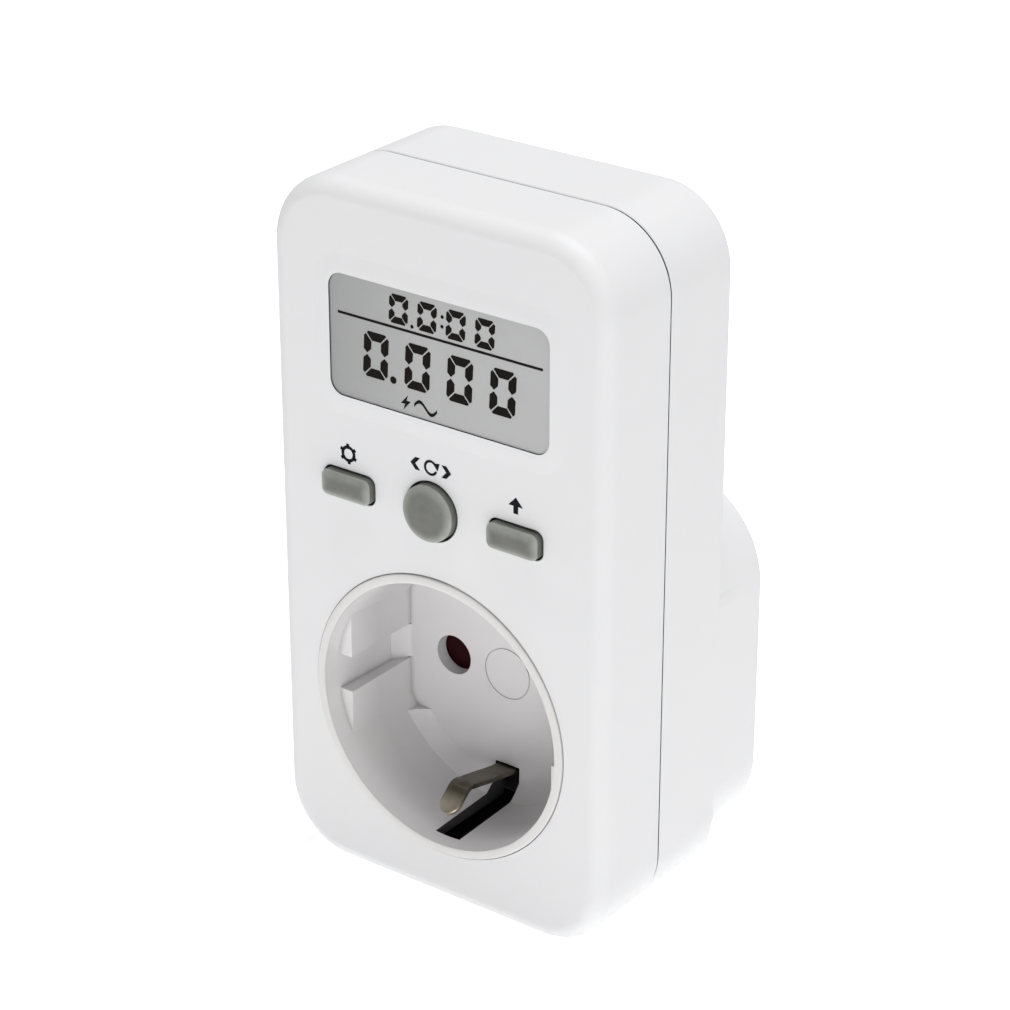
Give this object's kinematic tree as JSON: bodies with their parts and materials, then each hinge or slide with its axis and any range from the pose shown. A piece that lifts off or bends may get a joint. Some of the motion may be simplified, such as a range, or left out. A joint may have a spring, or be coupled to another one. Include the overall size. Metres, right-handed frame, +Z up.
{
  "type": "plug in power meter",
  "caption": "Plug-in energy meter: pins and boss at the back, earthed pass-through socket, display and push keys on the front of a white two-shell housing.",
  "frame": {"origin": "centre of the plug's mating face, midway between the two pins", "axes": "+Y into the wall along the pins, -Y to the user, +Z up, +X to the user's right"},
  "size_m": [0.0556, 0.0639, 0.1032],
  "materials": {
    "white_shell": "satin moulded ABS",
    "socket_plastic": "satin moulded thermoplastic, slightly warmer than the shell",
    "red_plastic": "satin",
    "spring_steel": "drawn",
    "natural_plastic": "satin",
    "nickel_silver": "rolled, slightly tarnished",
    "brass": "rolled",
    "nickel_plate": "nickel plated",
    "clear_lens": "polished",
    "lcd_grey": "satin polariser",
    "foil": "satin",
    "contact_rubber": "matt",
    "circuit_board": "solder mask",
    "black_resin": "matt",
    "grey_rubber": "satin silicone rubber",
    "zinc_steel": "zinc plated",
    "capacitor_yellow": "gloss",
    "capacitor_sleeve": "gloss sleeve",
    "varistor_blue": "gloss lacquer",
    "fuse_glass": "gloss",
    "manganin": "rolled",
    "cable_grey": "matt",
    "battery_green": "shrink sleeve",
    "wire_brown": "PVC",
    "wire_blue": "PVC"
  },
  "bodies": {
    "housing": {"front_shell": "white_shell", "rear_shell": "white_shell", "socket_well": "socket_plastic", "socket_floor": "socket_plastic", "shutter_spring": "spring_steel", "shutter_cover": "natural_plastic", "earth_bridge": "nickel_silver", "live_contact": "brass", "neutral_contact": "brass", "contact_carrier": "natural_plastic", "plug_base": "white_shell", "plug_pin_live": "nickel_plate", "plug_pin_neutral": "nickel_plate", "plug_earth_contact_upper": "nickel_plate", "plug_earth_contact_lower": "nickel_plate", "display_window": "clear_lens", "lcd_glass": "lcd_grey", "lcd_reflector": "foil", "lcd_holder": "natural_plastic", "contact_strip_upper": "contact_rubber", "contact_strip_lower": "contact_rubber", "display_board": "circuit_board", "display_chip": "black_resin", "keypad_mat": "grey_rubber", "key_contacts": "brass", "power_board": "circuit_board", "metering_chip": "black_resin", "crystal": "zinc_steel", "dropper_capacitor": "capacitor_yellow", "smoothing_capacitor": "capacitor_sleeve", "varistor": "varistor_blue", "fuse": "fuse_glass", "rectifier_diodes": "black_resin", "shunt": "manganin", "board_resistors": "black_resin", "board_header": "black_resin", "board_cable": "cable_grey", "backup_battery": "battery_green", "live_in_wire": "wire_brown", "live_out_wire": "wire_brown", "neutral_link_wire": "wire_blue", "neutral_tap_wire": "wire_blue", "case_screws": "zinc_steel", "insert_screws": "zinc_steel", "cover_screws": "zinc_steel", "display_board_screws": "zinc_steel", "power_board_screws": "zinc_steel"},
    "set_button": {"set_key": "grey_rubber", "set_pill": "contact_rubber"},
    "mode_button": {"mode_key": "grey_rubber", "mode_pill": "contact_rubber"},
    "up_button": {"up_key": "grey_rubber", "up_pill": "contact_rubber"},
    "shutter": {"socket_shutter": "red_plastic"},
    "clip_upper": {"earth_clip_upper": "nickel_silver"},
    "clip_lower": {"earth_clip_lower": "nickel_silver"}
  },
  "joints": [
    {"name": "set_press", "type": "slide", "parent": "housing", "child": "set_button", "axis": [0, 1, 0], "range_m": [0, 0.001], "stiffness_N_per_m": 400},
    {"name": "mode_press", "type": "slide", "parent": "housing", "child": "mode_button", "axis": [0, 1, 0], "range_m": [0, 0.001], "stiffness_N_per_m": 400},
    {"name": "up_press", "type": "slide", "parent": "housing", "child": "up_button", "axis": [0, 1, 0], "range_m": [0, 0.001], "stiffness_N_per_m": 400},
    {"name": "shutter_turn", "type": "hinge", "parent": "housing", "child": "shutter", "pos_m": [0, -0.0243, 0], "axis": [0, 1, 0], "range_deg": [0, 42], "stiffness_Nm_per_rad": 0.003},
    {"name": "clip_upper_flex", "type": "hinge", "parent": "housing", "child": "clip_upper", "pos_m": [0, -0.0251, 0.0152], "axis": [-1, 0, 0], "range_deg": [0, 9], "stiffness_Nm_per_rad": 0.3},
    {"name": "clip_lower_flex", "type": "hinge", "parent": "housing", "child": "clip_lower", "pos_m": [0, -0.0251, -0.0152], "axis": [1, 0, 0], "range_deg": [0, 9], "stiffness_Nm_per_rad": 0.3}
  ]
}
